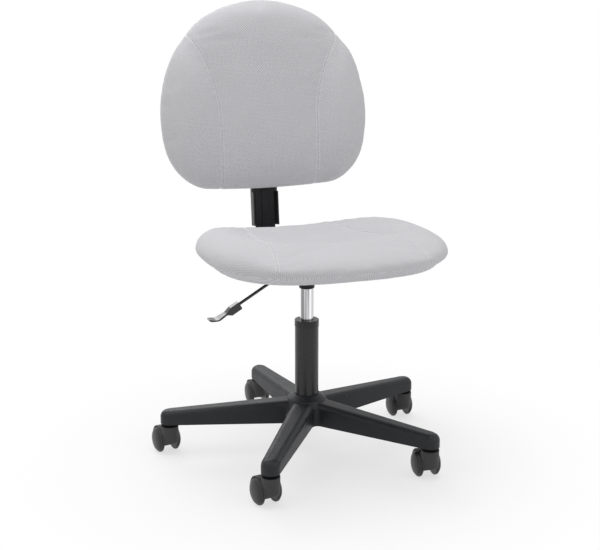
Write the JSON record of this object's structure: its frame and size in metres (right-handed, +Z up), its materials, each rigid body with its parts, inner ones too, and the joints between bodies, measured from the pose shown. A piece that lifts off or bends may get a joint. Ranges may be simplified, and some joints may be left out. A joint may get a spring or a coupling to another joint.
{
  "type": "office chair",
  "caption": "Armless swivel office chair with a dished fabric seat, a rounded back on a bent bar, a gas-lift column with a lever, and a star base on twin-wheel casters.",
  "frame": {"origin": "on the floor, under the column's axis", "axes": "+Z up along the column, -Y the way the sitter faces, +X towards the sitter's left"},
  "size_m": [0.6172, 0.6429, 0.9445],
  "materials": {
    "moulded_black": "fine moulded texture",
    "wheel_black": "satin",
    "trim_black": "satin",
    "column_black": "gloss",
    "frame_black": "gloss",
    "lever_black": "satin",
    "chrome": "polished",
    "steel": "bright",
    "bushing_plastic": "plain",
    "valve_brass": "machined",
    "bump_rubber": "matte",
    "plywood": "bare",
    "dust_cloth": "non-woven",
    "grey_fabric": "spacer mesh knit"
  },
  "bodies": {
    "base": {"star_base": "moulded_black", "column_tube": "column_black", "column_cap": "trim_black", "guide_bushing": "bushing_plastic", "lower_thrust_washer": "steel", "ball_cage": "bushing_plastic", "bearing_balls": "steel", "caster_stems": "steel", "grip_rings": "steel", "stem_collars": "trim_black"},
    "rod": {"piston_rod": "steel", "piston": "bushing_plastic", "upper_thrust_washer": "steel", "bump_stop": "bump_rubber", "retaining_clip": "steel"},
    "seat": {"gas_cylinder": "chrome", "pressure_tube": "steel", "rod_guide": "bushing_plastic", "valve_body": "valve_brass", "seat_plate": "frame_black", "seat_board": "plywood", "dust_cover": "dust_cloth", "seat_cushion": "grey_fabric", "seat_bolts": "steel", "seat_tee_nuts": "steel", "back_bar": "frame_black", "bar_bolts": "steel", "bar_nuts": "steel", "bar_cover": "trim_black", "back_board": "plywood", "back_cushion": "grey_fabric", "rear_panel": "grey_fabric", "back_bolts": "steel", "back_tee_nuts": "steel"},
    "lever": {"lever_rod": "lever_black", "lever_handle": "trim_black"},
    "valve_pin": {"valve_pin": "steel"},
    "caster_1": {"caster_1_body": "moulded_black", "caster_1_axle": "steel"},
    "wheel_1_left": {"caster_1_wheel_left": "wheel_black"},
    "wheel_1_right": {"caster_1_wheel_right": "wheel_black"},
    "caster_2": {"caster_2_body": "moulded_black", "caster_2_axle": "steel"},
    "wheel_2_left": {"caster_2_wheel_left": "wheel_black"},
    "wheel_2_right": {"caster_2_wheel_right": "wheel_black"},
    "caster_3": {"caster_3_body": "moulded_black", "caster_3_axle": "steel"},
    "wheel_3_left": {"caster_3_wheel_left": "wheel_black"},
    "wheel_3_right": {"caster_3_wheel_right": "wheel_black"},
    "caster_4": {"caster_4_body": "moulded_black", "caster_4_axle": "steel"},
    "wheel_4_left": {"caster_4_wheel_left": "wheel_black"},
    "wheel_4_right": {"caster_4_wheel_right": "wheel_black"},
    "caster_5": {"caster_5_body": "moulded_black", "caster_5_axle": "steel"},
    "wheel_5_left": {"caster_5_wheel_left": "wheel_black"},
    "wheel_5_right": {"caster_5_wheel_right": "wheel_black"}
  },
  "joints": [
    {"name": "seat_swivel", "type": "hinge", "parent": "base", "child": "rod", "pos_m": [0, 0, 0.073], "axis": [0, 0, 1], "continuous": true},
    {"name": "seat_lift", "type": "slide", "parent": "rod", "child": "seat", "axis": [0, 0, 1], "range_m": [-0.054, 0.058]},
    {"name": "lever_lift", "type": "hinge", "parent": "seat", "child": "lever", "pos_m": [-0.045, -0.035, 0.416], "axis": [0, 1, 0], "range_deg": [0, 3.8], "stiffness_Nm_per_rad": 2, "springref_deg": -2.86},
    {"name": "valve_press", "type": "slide", "parent": "seat", "child": "valve_pin", "axis": [0, 0, -1], "range_m": [0, 0.003]},
    {"name": "caster_1_swivel", "type": "hinge", "parent": "base", "child": "caster_1", "pos_m": [0.27444, 0.10261, 0.05], "axis": [0, 0, 1], "continuous": true},
    {"name": "wheel_1_left_spin", "type": "hinge", "parent": "caster_1", "child": "wheel_1_left", "pos_m": [0.27444, 0.12361, 0.027], "axis": [1, 0, 0], "continuous": true},
    {"name": "wheel_1_right_spin", "type": "hinge", "parent": "caster_1", "child": "wheel_1_right", "pos_m": [0.27444, 0.12361, 0.027], "axis": [1, 0, 0], "continuous": true},
    {"name": "caster_2_swivel", "type": "hinge", "parent": "base", "child": "caster_2", "pos_m": [-0.01278, 0.29272, 0.05], "axis": [0, 0, 1], "continuous": true},
    {"name": "wheel_2_left_spin", "type": "hinge", "parent": "caster_2", "child": "wheel_2_left", "pos_m": [-0.01278, 0.31372, 0.027], "axis": [1, 0, 0], "continuous": true},
    {"name": "wheel_2_right_spin", "type": "hinge", "parent": "caster_2", "child": "wheel_2_right", "pos_m": [-0.01278, 0.31372, 0.027], "axis": [1, 0, 0], "continuous": true},
    {"name": "caster_3_swivel", "type": "hinge", "parent": "base", "child": "caster_3", "pos_m": [-0.28234, 0.0783, 0.05], "axis": [0, 0, 1], "continuous": true},
    {"name": "wheel_3_left_spin", "type": "hinge", "parent": "caster_3", "child": "wheel_3_left", "pos_m": [-0.28599, 0.09898, 0.027], "axis": [0.9848, 0.1736, 0], "continuous": true},
    {"name": "wheel_3_right_spin", "type": "hinge", "parent": "caster_3", "child": "wheel_3_right", "pos_m": [-0.28599, 0.09898, 0.027], "axis": [0.9848, 0.1736, 0], "continuous": true},
    {"name": "caster_4_swivel", "type": "hinge", "parent": "base", "child": "caster_4", "pos_m": [-0.16172, -0.24433, 0.05], "axis": [0, 0, 1], "continuous": true},
    {"name": "wheel_4_left_spin", "type": "hinge", "parent": "caster_4", "child": "wheel_4_left", "pos_m": [-0.16536, -0.22365, 0.027], "axis": [0.9848, 0.1736, 0], "continuous": true},
    {"name": "wheel_4_right_spin", "type": "hinge", "parent": "caster_4", "child": "wheel_4_right", "pos_m": [-0.16536, -0.22365, 0.027], "axis": [0.9848, 0.1736, 0], "continuous": true},
    {"name": "caster_5_swivel", "type": "hinge", "parent": "base", "child": "caster_5", "pos_m": [0.1824, -0.2293, 0.05], "axis": [0, 0, 1], "continuous": true},
    {"name": "wheel_5_left_spin", "type": "hinge", "parent": "caster_5", "child": "wheel_5_left", "pos_m": [0.1835, -0.20833, 0.027], "axis": [0.9986, -0.0523, 0], "continuous": true},
    {"name": "wheel_5_right_spin", "type": "hinge", "parent": "caster_5", "child": "wheel_5_right", "pos_m": [0.1835, -0.20833, 0.027], "axis": [0.9986, -0.0523, 0], "continuous": true}
  ],
  "couplings": [
    {"joint": "valve_press", "follows": "lever_lift", "m_per_rad": 0.045}
  ]
}
